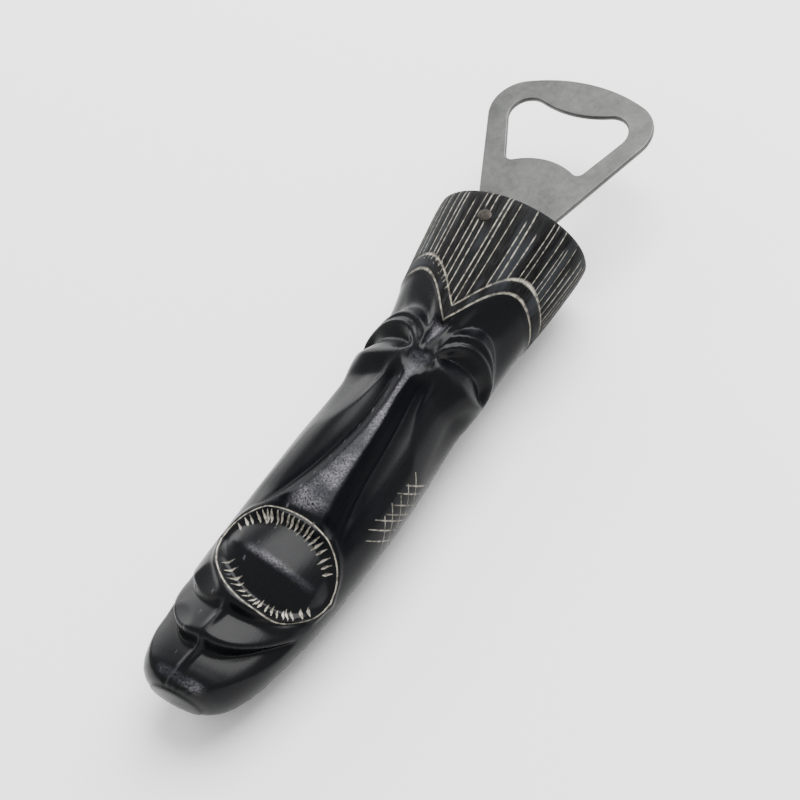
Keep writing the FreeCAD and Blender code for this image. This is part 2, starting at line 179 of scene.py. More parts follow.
# depths and heights of the other cuts in mm, and where two of them end along
FOREHEAD_DEEP = 2.1
NICK_END = 38.6
BAND_DEEP = 0.75
EYE_DEEP = 2.4
CHEEK_DEEP = 1.9
CHEEK_END = 62.0
BRIDGE_DEEP = 0.8
UNDER_NOSE_DEEP = 1.6
MOUTH_DEEP = (1.0, 2.3)
MOUTH_CREST = 1.5
LIP_HIGH = 0.4
CHEEKBONE_HIGH = 0.8
CHIN_KEEL = -7.0
# each chin step: top, how far it climbs round the side, bottom, how far that climbs, depth, brink
CHIN_STEPS = ((101.6, 6.0, 109.8, 10.5, 2.3, 0.26), (109.8, 9.0, 120.6, 12.5, 3.5, 0.22))
# each chip: middle, half sizes, depth
CHIPS = (
    ((119.2, 4.0), (1.6, 3.0), 0.6), ((119.6, -19.0), (1.2, 6.0), 0.4),
    ((119.4, 22.0), (1.3, 4.0), 0.35), ((119.8, -6.0), (1.0, 3.0), 0.4),
)


def carving(along, turn):
    """Depth of the carving below the blank's skin (negative, mm) for the whole mask."""
    mirror = np.abs(turn)
    brow = through(BROW_LINE, mirror)
    upper = through(UPPER_LID, mirror)
    lower = through(LOWER_LID, mirror)
    # forehead: each side falls away under its arch and comes out again to the brow
    forehead = step_down(along, hairline(turn) + 0.3, brow, FOREHEAD_DEEP, 0.72)
    cut = forehead * ramp(112.0, 62.0, mirror) * ramp(2.0, 21.0, mirror)
    nick_share = np.clip((NICK_END - along) / 7.8, 0.02, 1)
    nick_off = (turn + 0.35 * (along - 31.0)) / (9.0 * nick_share ** 0.8)
    nick = -(0.5 + 1.5 * nick_share) * (1 - nick_off ** 2) * ramp(30.7, 31.4, along) * ramp(38.8, 38.0, along)
    cut = deeper(cut, nick, 0.05)
    # thin fluted band above the lid, then the almond eye, deepest under the lid
    band = step_down(along, brow, upper, BAND_DEEP, 0.5) * ramp(5.0, 18.0, mirror) * ramp(97.0, 76.0, mirror)
    cut = deeper(cut, band, 0.08)
    almond = ramp(9.0, 23.0, mirror) * ramp(97.0, 80.0, mirror)
    cut = deeper(cut, step_down(along, upper, lower, EYE_DEEP, 0.42) * almond, 0.08)
    # the cheek falls away again under the lower lid
    cheek = step_down(along, lower, CHEEK_END, CHEEK_DEEP, 0.24)
    cheek_end = np.where(turn < 0, 78.0, 104.0)
    cut = deeper(cut, cheek * ramp(14.0, 31.0, mirror) * ramp(cheek_end, cheek_end - 34.0, mirror), 0.12)
    # nose: flat ridge, plane sides down to the crease, then a long soft rise to the cheek
    off = np.abs(turn - through(NOSE_MIDDLE, along))
    edge = through(NOSE_HALF, along)
    crease = through(CREASE, along)
    depth = through(CREASE_DEPTH, along) * ramp(40.6, 46.0, along) * ramp(88.0, 76.0, along)
    rise = np.clip(1 - (off - crease) / 40.0, 0, 1) ** 2
    side = np.where(off < crease, np.clip((off - edge) / (crease - edge), 0, 1), rise)
    cut = deeper(cut, -depth * side, 0.12)
    bridge = -BRIDGE_DEEP * (1 - ((along - 41.2) / 3.0) ** 2 - ((turn - 1.0) / 17.0) ** 2)
    cut = deeper(cut, bridge, 0.12)
    # the nose tip stands over the lip
    under_nose = gouge(along, turn + 2.0, (80.4, 0.0), (2.6, 46.0), UNDER_NOSE_DEEP, lean=0.02)
    cut = deeper(cut, under_nose, 0.10)
    # mouth: rolled lip, steep toothed wall and the crest across the floor
    inset, across = mouth_edge(along, turn)
    crest = 91.3 + 0.03 * turn
    roof = np.clip(1 - np.abs(along - crest) / np.where(along < crest, 8.5, 6.5), 0, 1)
    hollow = MOUTH_DEEP[0] + MOUTH_DEEP[1] * np.clip(1 - (across / 56.0) ** 2, 0, 1)
    floor = -(hollow - MOUTH_CREST * roof * ramp(62.0, 40.0, np.abs(across))) * ramp(0.1, 2.6, inset)
    cut = deeper(cut, floor, 0.06)
    lip = LIP_HIGH * np.exp(-((inset + 1.0) / 0.8) ** 2) * ramp(86.0, 58.0, np.abs(across))
    # chin: two crescent steps each side of a keel
    for hand in (-1, 1):
        out_turn = hand * (turn - CHIN_KEEL)
        fall = np.clip((out_turn - 12.0) / 66.0, -0.3, 1.0) ** 2
        span = np.sqrt(np.clip(1 - fall, 0, 1)) * ramp(-6.0, 7.0, out_turn)
        for top, top_climb, bottom, bottom_climb, deep, brink in CHIN_STEPS:
            step = step_down(along, top - top_climb * fall, bottom - bottom_climb * fall, deep, brink)
            cut = deeper(cut, step * span, 0.08)
    facet = gouge(along, turn, (103.5, -38.0), (7.5, 24.0), 1.4, lean=0.05)
    cut = deeper(cut, facet, 0.08)
    # chips knocked out of the chin's front edge
    for at, half, deep in CHIPS:
        cut = deeper(cut, cut + gouge(along, turn, at, half, deep), 0.05)
    # brow and cheekbone stand proud at the sides
    cheekbone = CHEEKBONE_HIGH * np.exp(-((along - 40.5) / 6.0) ** 4) * ramp(30.0, 62.0, mirror)
    cheekbone = cheekbone * ramp(125.0, 80.0, mirror)
    return cut + lip + cheekbone


RUB_ALONG = 0.33
RUB_TURN = 1.35


def polished(along, turn):
    """The carving with every edge rubbed round over a third of a millimetre."""
    total = np.zeros_like(along)
    for step in (-RUB_ALONG, 0.0, RUB_ALONG):
        for swing in (-RUB_TURN, 0.0, RUB_TURN):
            total += carving(along + step, turn + swing)
    return total / 9.0


def blank_point(along, turn_from_plate):
    """Skin of the uncarved blank and its outward direction (plate frame, mm)."""
    wide = through(BLANK, along)
    deep = wide * DEPTH_RATIO
    a = np.radians(turn_from_plate)
    axis = AXIS_START - AXIS_BEND * (along / HANDLE_LENGTH) ** AXIS_POWER
    place = np.stack([axis + wide * np.sin(a), RIM_Y - along, deep * np.cos(a)], -1)
    out = np.stack([np.sin(a) * DEPTH_RATIO, np.zeros_like(a), np.cos(a)], -1)
    return place, out / np.linalg.norm(out, axis=-1, keepdims=True)


# pale cuts: teeth, mouth outline, cheek hatching and hairline ticks, each a short tapering stroke with
# (from along, from turn, to along, to turn, width at the start, width at the end)
OUTLINE_WIDE = 0.24
MM_PER_DEGREE = 0.245


def mouth_outline_point(step):
    """A point on the mouth's outline; step runs 0 to 1 once round, top half first."""
    upper = step < 0.5
    across = MOUTH_REACH * (2 * (2 * step if upper else 2 - 2 * step) - 1)
    half = float(mouth_half(across))
    along = MOUTH_ALONG + MOUTH_TILT * across + (-half if upper else half)
    return along, across + MOUTH_TURN + MOUTH_LEAN * (along - MOUTH_ALONG)


dice = random.Random(7)
strokes = []
outline = [mouth_outline_point(i / 72.0) for i in range(73)]
for (s0, t0), (s1, t1) in zip(outline, outline[1:]):
    strokes.append((s0, t0, s1, t1, OUTLINE_WIDE, OUTLINE_WIDE))
for count, low, high in ((21, 0.03, 0.47), (17, 0.54, 0.96)):
    for i in range(count):
        step = low + (high - low) * (i + 0.5 + dice.uniform(-0.18, 0.18)) / count
        s0, t0 = mouth_outline_point(step)
        s1, t1 = mouth_outline_point(step - 0.01)
        s2, t2 = mouth_outline_point(step + 0.01)
        inward = Vector(((t2 - t1) * MM_PER_DEGREE, s1 - s2)).normalized()
        inward.rotate(Matrix.Rotation(dice.uniform(-0.16, 0.16), 2))
        root, belly, tip = [(s0 + inward.x * far, t0 + inward.y * far / MM_PER_DEGREE)
                            for far in (0.75, 1.8, 2.6 * dice.uniform(1.0, 1.25))]
        wide = dice.uniform(0.5, 0.8)
        strokes.append((*root, *belly, 0.15, wide))
        strokes.append((*belly, *tip, wide, 0.08))
# cheek hatching: cross cuts first, then the long thin ones
for i in range(7):
    s0 = 78.4 - 2.3 * i + dice.uniform(-0.25, 0.25)
    t0 = 56.0 + dice.uniform(-3, 3)
    strokes.append((s0, t0, s0 - 1.8, t0 + 13.0, 0.08, 0.27))
    strokes.append((s0 - 1.8, t0 + 13.0, s0 - 5.1, t0 + 36.0, 0.27, 0.08))
for i in range(5):
    s0 = 72.0 - 2.8 * i + dice.uniform(-0.4, 0.4)
    t0 = 58.0 + dice.uniform(-2, 2)
    strokes.append((s0, t0, s0 + 6.3, t0 + 34.0, 0.17, 0.08))
# ticks that hang from the upper hairline groove on the left
for i in range(9):
    t0 = -46.0 + 4.4 * i + dice.uniform(-1, 1)
    s0 = float(hairline(np.array(t0))) - HAIR_BAND
    strokes.append((s0 - 0.3, t0, s0 + dice.uniform(0.8, 1.6), t0 - 1.5, 0.22, 0.1))
strokes = np.array(strokes)


def stroke_field(along, turn):
    """How far inside the edge of the nearest stroke a place lies: mm, negative outside."""
    best = np.full(along.shape, -9.0)
    for s0, t0, s1, t1, w0, w1 in strokes:
        near = (np.abs(along - (s0 + s1) / 2) < abs(s1 - s0) / 2 + 1.2) & (
            np.abs(turn - (t0 + t1) / 2) < abs(t1 - t0) / 2 + 6.0)
        if not near.any():
            continue
        ax, ay = along[near] - s0, (turn[near] - t0) * MM_PER_DEGREE
        bx, by = s1 - s0, (t1 - t0) * MM_PER_DEGREE
        f = np.clip((ax * bx + ay * by) / (bx * bx + by * by), 0, 1)
        gap = np.hypot(ax - f * bx, ay - f * by)
        best[near] = np.maximum(best[near], (w0 + (w1 - w0) * f) / 2 - gap)
    return best


# columns: each engraved crown line has a middle and two edges, with one more column between lines
LINE_COUNT = 60
LINE_STARTS = (-1.0, -1.0, 0.5, 2.0, 3.5, 6.0)
line_turn = []
for i in range(LINE_COUNT):
    line_turn.append((i + 0.5 + dice.uniform(-0.28, 0.28)) * 360.0 / LINE_COUNT - 180.0)
line_half = [dice.uniform(0.40, 0.72) for _ in line_turn]
line_start = [dice.choice(LINE_STARTS) + dice.uniform(-0.5, 0.5) for _ in line_turn]
line_lean = [dice.uniform(-1.2, 1.2) for _ in line_turn]
columns = []
for i, (turn, half) in enumerate(zip(line_turn, line_half)):
    following = line_turn[(i + 1) % LINE_COUNT] + (360.0 if i == LINE_COUNT - 1 else 0.0)
    columns += [(turn - half, i, 0.0), (turn, i, 1.0), (turn + half, i, 0.0)]
    columns.append(((turn + following) / 2, i, 0.0))
column_turn = np.array([c[0] for c in columns])
column_line = np.array([c[1] for c in columns])
column_core = np.array([c[2] for c in columns])
column_even = np.linspace(column_turn[0], column_turn[0] + 360.0, len(columns), endpoint=False)
column_count = len(columns)


# rows: (which guide, offset or share, groove core); a groove has three: edge, bottom, edge
GROOVE_HALF = 0.34
MM_PER_GROOVE_DEGREE = 0.27
GROOVE_DEPTH = 0.20
LINE_DEPTH = 0.07
CROWN_ROWS = 22
FACE_ROWS = 225
LAST_ROW = HANDLE_LENGTH - 0.02


def groove_rows(guide):
    """Three rows across a hairline groove: edge, bottom, edge."""
    return [(guide, -GROOVE_HALF, 0.0), (guide, 0.0, 1.0), (guide, GROOVE_HALF, 0.0)]


# rows lie closest over the hairline and eyes, widest over the cheeks, and crowd at the chin's tip
pace = np.interp(np.linspace(0, 1, FACE_ROWS), (0.0, 0.23, 0.26, 0.46, 0.50, 0.93, 1.0),
                 (0.7, 0.7, 1.5, 1.5, 0.9, 0.9, 0.12))
face_share = np.cumsum(pace) / pace.sum()
rows = [("crown", share, 0.0) for share in (0.0, 0.010, 0.022)]
rows += [("crown", i / CROWN_ROWS, 0.0) for i in range(1, CROWN_ROWS)]
rows += groove_rows("upper") + [("band", share, 0.0) for share in (0.25, 0.5, 0.75)]
rows += groove_rows("lower") + [("face", share, 0.0) for share in face_share]


def wrapped(turn):
    """An angle brought into -180 to 180 degrees."""
    return (turn + 180.0) % 360.0 - 180.0


# a groove is as wide across its slanting run as along it, and widest at the arches
column_face = wrapped(column_turn - FACE_TURN)
guide_low = hairline(column_face)
guide_high = guide_low - HAIR_BAND
ahead = hairline(wrapped(column_turn - FACE_TURN + 1.0))
behind = hairline(wrapped(column_turn - FACE_TURN - 1.0))
arch_peak = np.exp(-((np.abs(column_face) - 42.0) / 15.0) ** 2)
slant = np.hypot(1.0, (ahead - behind) / (2.0 * MM_PER_GROOVE_DEGREE))
steep = np.minimum(slant, 2.0) * (0.7 + 0.6 * arch_peak)
steep_high = steep * (1.0 + 0.5 * arch_peak * (column_face > 0))
rim_high = GROOVE_HALF * steep_high
rim_low = GROOVE_HALF * steep
grid_s, grid_t, grid_chalk, grid_drop = [], [], [], []
for kind, share, core in rows:
    if kind == "crown":
        s = (guide_high - rim_high) * share
    elif kind == "upper":
        s = guide_high + share * steep_high
    elif kind == "band":
        s = guide_high + rim_high + (HAIR_BAND - rim_high - rim_low) * share
    elif kind == "lower":
        s = guide_low + share * steep
    else:
        s = guide_low + rim_low + (LAST_ROW - guide_low - rim_low) * share
    below = ramp(0.0, 7.0, s - guide_low)
    lean = np.array([line_lean[i] for i in column_line]) * np.clip(1 - s / guide_high, 0, 1)
    t = column_turn + lean * (1 - below)
    t = t + (column_even - t) * below
    start = np.array([line_start[i] for i in column_line])
    in_crown = np.clip((guide_high - s) / 0.6, 0, 1) * np.clip((s - start) / 0.8, 0, 1)
    pin_near = np.hypot(t * CROWN_MM_PER_DEGREE, s - PIN_SPOT[1]) < PIN_CLEAR
    line = column_core * in_crown * np.where(pin_near, 0.0, 1.0)
    grid_s.append(s)
    grid_t.append(t)
    grid_chalk.append(np.maximum(line, core))
    grid_drop.append(LINE_DEPTH * line + GROOVE_DEPTH * core)
grid_s, grid_t = np.array(grid_s), np.array(grid_t)
grid_chalk, grid_drop = np.array(grid_chalk), np.array(grid_drop)

# the skin is first laid out flat (round x along) so that it can be refined where a stroke needs it
skin = bmesh.new()
mark = skin.verts.layers.float.new("chalk")
topped = skin.verts.layers.float.new("crown")
# this layer marks worn places and also carries their painted grey highlight
rubbed = skin.verts.layers.float.new("wear_and_highlight")
dull = skin.verts.layers.float.new("dull")
drop = skin.verts.layers.float.new("drop")
net = []
for r in range(len(rows)):
    ring = []
    for c in range(column_count):
        vert = skin.verts.new((grid_t[r, c], grid_s[r, c], 0.0))
        vert[mark] = grid_chalk[r, c]
        vert[drop] = grid_drop[r, c]
        ring.append(vert)
    last = skin.verts.new((grid_t[r, 0] + 360.0, grid_s[r, 0], 0.0))
    last[mark] = grid_chalk[r, 0]
    last[drop] = grid_drop[r, 0]
    ring.append(last)
    net.append(ring)
for r in range(len(rows) - 1):
    for c in range(column_count):
        skin.faces.new((net[r][c], net[r][c + 1], net[r + 1][c + 1], net[r + 1][c]))
skin.faces.ensure_lookup_table()
for reach in (0.40, 0.12):
    middle = np.array([f.calc_center_median() for f in skin.faces])
    field = stroke_field(middle[:, 1], wrapped(middle[:, 0] - FACE_TURN))
    wanted = [f for f, d in zip(skin.faces, field) if d > -reach]
    edges = list({e for f in wanted for e in f.edges if not e.is_boundary})
    bmesh.ops.subdivide_edges(skin, edges=edges, cuts=1, use_grid_fill=True)

verts = list(skin.verts)
flat = np.array([v.co for v in verts])
along, turn = flat[:, 1], flat[:, 0]
face_turn = wrapped(turn - FACE_TURN)
field = stroke_field(along, face_turn)
chalk = np.maximum(np.array([v[mark] for v in verts]), np.clip(field / 0.10 + 0.35, 0, 1))
dropped = np.maximum(np.array([v[drop] for v in verts]), np.clip(field, 0, 0.3) * 0.9)
carved_all = np.where(along < hairline(face_turn) - 0.05, 0.0, polished(along, face_turn))
carved_all = carved_all - 0.25 * ramp(0.0, 1.2, along - hairline(face_turn)) * ramp(60.0, 36.0, along)
rim_round = -0.9 * np.clip(1 - along / 1.1, 0, 1) ** 2
place, out = blank_point(along, turn)
skin_mm = place + out * (carved_all - dropped + rim_round)[:, None]
crown_share = ramp(0.15, -0.1, along - hairline(face_turn))
# where hands have worn the polish, painted grey as a highlight of the light these facets catch: nose ridge,
# forehead nick, crest in the mouth and chin's edge
from_middle = np.abs(face_turn - through(NOSE_MIDDLE, along))
nose_off = from_middle / through(NOSE_HALF, along)
on_nose = ramp(1.15, 0.45, nose_off) * ramp(38.6, 39.6, along) * ramp(79.6, 78.4, along)
nick_width = 7.5 * np.clip((NICK_END - along) / 7.8, 0.02, 1)
nick_off = np.abs(face_turn + 0.35 * (along - 31.0)) / nick_width
in_nick = ramp(1.0, 0.5, nick_off) * ramp(31.2, 31.8, along)
crest_off = np.abs(along - 90.9 - 0.03 * face_turn)
on_crest = ramp(1.2, 0.2, crest_off) * ramp(44.0, 26.0, np.abs(face_turn - 10.0))
chin_off = np.abs(along - 118.6 - 0.01 * face_turn)
on_chin = ramp(1.3, 0.4, chin_off) * ramp(42.0, 22.0, np.abs(face_turn))
wear_and_highlight = np.maximum.reduce([on_nose, in_nick, 0.7 * on_crest, 0.8 * on_chin])
# the walls beside the nose are left as the gouge cut them, without polish
from_crease = from_middle - through(CREASE, along)
left_side = face_turn < 0
wall_end = ramp(np.where(left_side, 9.0, 20.0), np.where(left_side, 3.0, 5.0), from_crease)
scraped = ramp(0.9, 1.2, nose_off) * wall_end * ramp(42.5, 46.0, along) * ramp(86.0, 80.0, along)
for v, p, pale, top, wear_highlight_share, scrape in zip(verts, skin_mm, chalk, crown_share, wear_and_highlight, scraped):
    v.co = p
    v[mark] = pale
    v[topped] = top
    v[rubbed] = wear_highlight_share
    v[dull] = scrape

# crown's end: flat face, slot mouth and slot walls; chin's end: one small flat
bmesh.ops.remove_doubles(skin, verts=list(skin.verts), dist=0.0005)
skin.verts.ensure_lookup_table()
top_edges = [e for e in skin.edges if e.is_boundary and all(v.co.y > RIM_Y - 1.0 for v in e.verts)]
tip_edges = [e for e in skin.edges if e.is_boundary and all(v.co.y < RIM_Y - 100.0 for v in e.verts)]
bmesh.ops.edgenet_fill(skin, edges=tip_edges)


def ordered_loop(edges):
    """The vertices of a closed loop of edges, in order."""
    links = {}
    for e in edges:
        a, b = e.verts
        links.setdefault(a, []).append(b)
        links.setdefault(b, []).append(a)
    start = edges[0].verts[0]
    loop = [start]
    before, here = None, start
    while True:
        ahead = [v for v in links[here] if v is not before][0]
        if ahead is start:
            return loop
        loop.append(ahead)
        before, here = here, ahead


loop = ordered_loop(top_edges)


def end_ring(previous, place_of):
    """One more ring towards the slot, joined by quads."""
    ring = [skin.verts.new(place_of(v.co)) for v in loop]
    for i in range(len(loop)):
        j = (i + 1) % len(loop)
        skin.faces.new((previous[i], previous[j], ring[j], ring[i]))
    return ring


def on_slot(co, y):
    """The slot's rectangular mouth, in the same direction from its middle as a rim point."""
    reach = max(abs(co.x) / SLOT_HALF[0], abs(co.z) / SLOT_HALF[1])
    return Vector((co.x / reach, y, co.z / reach))


END_Y = RIM_Y + 0.02
SLOT_FLOOR_Y = RIM_Y - 6.0
ring = end_ring(loop, lambda co: Vector((AXIS_START + (co.x - AXIS_START) * 0.975, END_Y, co.z * 0.975)))
ring = end_ring(ring, lambda co: Vector((co.x, END_Y, co.z)).lerp(on_slot(co, END_Y), 0.4))
ring = end_ring(ring, lambda co: on_slot(co, END_Y))
ring = end_ring(ring, lambda co: on_slot(co, SLOT_FLOOR_Y))
skin.faces.new(ring)
bmesh.ops.recalc_face_normals(skin, faces=list(skin.faces))

handle_mesh = bpy.data.meshes.new("handle_carved")
skin.to_mesh(handle_mesh)
skin.free()
handle_mesh.transform(plate_frame @ Matrix.Scale(MM, 4))
handle = bpy.data.objects.new("handle_carved", handle_mesh)
bpy.context.scene.collection.objects.link(handle)
bpy.ops.object.select_all(action="DESELECT")
handle.select_set(True)
bpy.context.view_layer.objects.active = handle
bpy.ops.object.shade_smooth_by_angle(angle=math.radians(52))


# colour and finish of the carved wood
def linear(code):
    """An sRGB hex colour as linear RGBA."""
    parts = [int(code[i:i + 2], 16) / 255 for i in (1, 3, 5)]
    return [p / 12.92 if p <= 0.04045 else ((p + 0.055) / 1.055) ** 2.4 for p in parts] + [1.0]


def cells(*sizes):
    """The noise scale, or one for each axis, that gives cells of these sizes in mm."""
    scales = tuple(1.0 / (size * MM) for size in sizes)
    return scales[0] if len(scales) == 1 else scales


def node(tree, kind, links=(), sockets=(), stops=(), **settings):
    """Add one node with its settings, socket values, colour stops and incoming links."""
    item = tree.nodes.new(kind)
    for key, value in settings.items():
        if hasattr(item, key):
            setattr(item, key, value)
        else:
            item.inputs[key.replace("_", " ")].default_value = value
    for socket, value in sockets:
        item.inputs[socket].default_value = value
    for element, (place, code) in zip(item.color_ramp.elements if stops else (), stops):
        element.position = place
        element.color = linear(code)
    for source, target in links:
        tree.links.new(source, item.inputs[target])
    return item


def new_material(name):
    """An empty material with its shader and output joined."""
    material = bpy.data.materials.new(name)
    material.use_nodes = True
    tree = material.node_tree
    tree.nodes.clear()
    shader = tree.nodes.new("ShaderNodeBsdfPrincipled")
    output = tree.nodes.new("ShaderNodeOutputMaterial")
    tree.links.new(shader.outputs[0], output.inputs["Surface"])
    return material, tree, shader


# Dense black wood, scraped and waxed: near black with a soft sheen and faint grain along the blank.
# The crown is scuffed in streaks, worn places are grey with open pores as wear and as a painted highlight,
# and the cuts are dry and pale.
wood, tree, shader = new_material("polished_black_wood")
here = node(tree, "ShaderNodeTexCoord").outputs["Object"]
pale_cut = node(tree, "ShaderNodeAttribute", attribute_name="chalk").outputs["Fac"]
on_crown = node(tree, "ShaderNodeAttribute", attribute_name="crown").outputs["Fac"]
wear_highlight_mask = node(tree, "ShaderNodeAttribute", attribute_name="wear_and_highlight").outputs["Fac"]
unwaxed = node(tree, "ShaderNodeAttribute", attribute_name="dull").outputs["Fac"]
grain_room = node(tree, "ShaderNodeMapping", [(here, "Vector")], Scale=cells(0.417, 9.09, 0.417))
grain = node(tree, "ShaderNodeTexNoise", [(grain_room.outputs[0], "Vector")], Scale=1.0, Detail=4.0,
             Roughness=0.6)
streak_room = node(tree, "ShaderNodeMapping", [(here, "Vector")], Scale=cells(3.03, 38.5, 3.03))
streak = node(tree, "ShaderNodeTexNoise", [(streak_room.outputs[0], "Vector")], Scale=1.0, Detail=2.0)
cloud = node(tree, "ShaderNodeTexNoise", [(here, "Vector")], Scale=cells(6.25), Detail=3.0)
pore = node(tree, "ShaderNodeTexNoise", [(here, "Vector")], Scale=cells(0.385), Detail=6.0, Roughness=0.65)
flake = node(tree, "ShaderNodeTexNoise", [(here, "Vector")], Scale=cells(1.11), Detail=4.0)
# the pale dust in a cut is broken by flakes
dust_left = node(tree, "ShaderNodeMapRange", [(flake.outputs["Fac"], "Value")],
                 From_Min=0.38, From_Max=0.58, To_Min=0.30)
dusty = node(tree, "ShaderNodeMath", [(pale_cut, 0), (dust_left.outputs[0], 1)], operation="MULTIPLY")
waxed = node(tree, "ShaderNodeMix", [(grain.outputs["Fac"], 0)],
             [(6, linear("#020203")), (7, linear("#0d0e11"))], data_type="RGBA")
crown_tone = node(tree, "ShaderNodeValToRGB", [(grain.outputs["Fac"], "Fac")],
                  stops=((0.36, "#040404"), (0.72, "#1c1c1d")))
scuff = node(tree, "ShaderNodeMapRange", [(streak.outputs["Fac"], "Value")], From_Min=0.47, From_Max=0.66)
scuffed = node(tree, "ShaderNodeMix", [(scuff.outputs[0], 0), (crown_tone.outputs[0], 6)],
               [(7, linear("#222427"))], data_type="RGBA")
unworn = node(tree, "ShaderNodeMix", [(on_crown, 0), (waxed.outputs[2], 6), (scuffed.outputs[2], 7)],
              data_type="RGBA")
pored = node(tree, "ShaderNodeMapRange", [(pore.outputs["Fac"], "Value")], From_Min=0.36, From_Max=0.66)
# painted highlight: worn places with open pores turn grey, standing for the light the nose ridge, nick, mouth
# crest and chin edge catch
grey_highlight_share = node(tree, "ShaderNodeMath", [(wear_highlight_mask, 0), (pored.outputs[0], 1)], operation="MULTIPLY")
highlight_grey_tone = node(tree, "ShaderNodeValToRGB", [(cloud.outputs["Fac"], "Fac")],
                 stops=((0.40, "#33343a"), (0.62, "#6e6d72")))
wear_highlight_colour = node(tree, "ShaderNodeMix",
            [(grey_highlight_share.outputs[0], 0), (unworn.outputs[2], 6), (highlight_grey_tone.outputs[0], 7)], data_type="RGBA")
dust_tone = node(tree, "ShaderNodeMix", [(cloud.outputs["Fac"], 0)],
                 [(6, linear("#6f6a5f")), (7, linear("#c4bfb2"))], data_type="RGBA")
colour = node(tree, "ShaderNodeMix",
              [(dusty.outputs[0], 0), (wear_highlight_colour.outputs[2], 6), (dust_tone.outputs[2], 7)], data_type="RGBA")
tree.links.new(colour.outputs[2], shader.inputs["Base Color"])
rough_wax = node(tree, "ShaderNodeMapRange", [(cloud.outputs["Fac"], "Value")], To_Min=0.20, To_Max=0.34)
rough_crown = node(tree, "ShaderNodeMix", [(on_crown, 0), (rough_wax.outputs[0], 2)], [(3, 0.55)])
rough_worn = node(tree, "ShaderNodeMix", [(wear_highlight_mask, 0), (rough_crown.outputs[0], 2)], [(3, 0.36)])
rough = node(tree, "ShaderNodeMix", [(dusty.outputs[0], 0), (rough_worn.outputs[0], 2)], [(3, 0.85)])
tree.links.new(rough.outputs[0], shader.inputs["Roughness"])
gloss = node(tree, "ShaderNodeMix", [(on_crown, 0)], [(2, 0.115), (3, 0.05)])
gloss_left = node(tree, "ShaderNodeMix", [(unwaxed, 0), (gloss.outputs[0], 2)], [(3, 0.03)])
tree.links.new(gloss_left.outputs[0], shader.inputs["Specular IOR Level"])
bump = node(tree, "ShaderNodeBump", [(grain.outputs["Fac"], "Height")], Strength=0.12, Distance=0.1 * MM)
tree.links.new(bump.outputs[0], shader.inputs["Normal"])
handle_mesh.materials.append(wood)
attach(handle, "root")
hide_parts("handle")

# ------------------------------------------------------------------ opener plate
# A stamped blank of 1.2 mm stainless sheet, tumbled and rubbed down: satin grey, a little cloudy, with
# the punch's faint coined arc bounding the tongue that hooks under the cap.
TONGUE_MIDDLE = (0.0, -24.1)
TONGUE_RADIUS = 16.6
COINED_HALF = 0.25
# tumbled stainless steel: satin, mottled grey, with a rubbed direction along the plate
steel, tree, shader = new_material("satin_stainless")
here = node(tree, "ShaderNodeTexCoord").outputs["Object"]
cloud = node(tree, "ShaderNodeTexNoise", [(here, "Vector")], Scale=cells(7.14), Detail=5.0)
speck = node(tree, "ShaderNodeTexNoise", [(here, "Vector")], Scale=cells(1.61), Detail=6.0, Roughness=0.7)
brush_room = node(tree, "ShaderNodeMapping", [(here, "Vector")], Scale=cells(0.385, 3.85, 0.385))
brush = node(tree, "ShaderNodeTexNoise", [(brush_room.outputs[0], "Vector")], Scale=1.0, Detail=3.0)
mottle = node(tree, "ShaderNodeMix", [(cloud.outputs["Fac"], 2), (speck.outputs["Fac"], 3)], Factor=0.5)
tone = node(tree, "ShaderNodeValToRGB", [(mottle.outputs[0], "Fac")],
            stops=((0.34, "#3f403f"), (0.66, "#565755")))
tree.links.new(tone.outputs[0], shader.inputs["Base Color"])
shader.inputs["Metallic"].default_value = 1.0
spread = node(tree, "ShaderNodeMapRange", [(cloud.outputs["Fac"], "Value")], To_Min=0.34, To_Max=0.48)
tree.links.new(spread.outputs[0], shader.inputs["Roughness"])
tongue_middle = plate_frame @ (Vector((*TONGUE_MIDDLE, 0.0)) * MM)
from_middle = node(tree, "ShaderNodeVectorMath", [(here, 0)], [(1, tongue_middle)], operation="SUBTRACT")
reach = node(tree, "ShaderNodeVectorMath", [(from_middle.outputs[0], 0)], operation="LENGTH")
coined = node(tree, "ShaderNodeMapRange", [(reach.outputs["Value"], "Value")],
              interpolation_type="SMOOTHSTEP", From_Min=(TONGUE_RADIUS - COINED_HALF) * MM,
              From_Max=(TONGUE_RADIUS + COINED_HALF) * MM)
step_bump = node(tree, "ShaderNodeBump", [(coined.outputs[0], "Height")], Strength=0.12, Distance=0.08 * MM)
brush_bump = node(tree, "ShaderNodeBump",
                  [(brush.outputs["Fac"], "Height"), (step_bump.outputs[0], "Normal")],
                  Strength=0.10, Distance=0.04 * MM)
tree.links.new(brush_bump.outputs[0], shader.inputs["Normal"])
plate = bpy.data.objects["opener_plate"]
plate.data.materials.clear()
plate.data.materials.append(steel)

# ------------------------------------------------------------------ cross pin
# A turned brass pin driven through the crown and the plate's tang, so that the plate can't pull out.
# Both ends are peened over into low domes and have tarnished brown.
PIN_HALF = 14.55
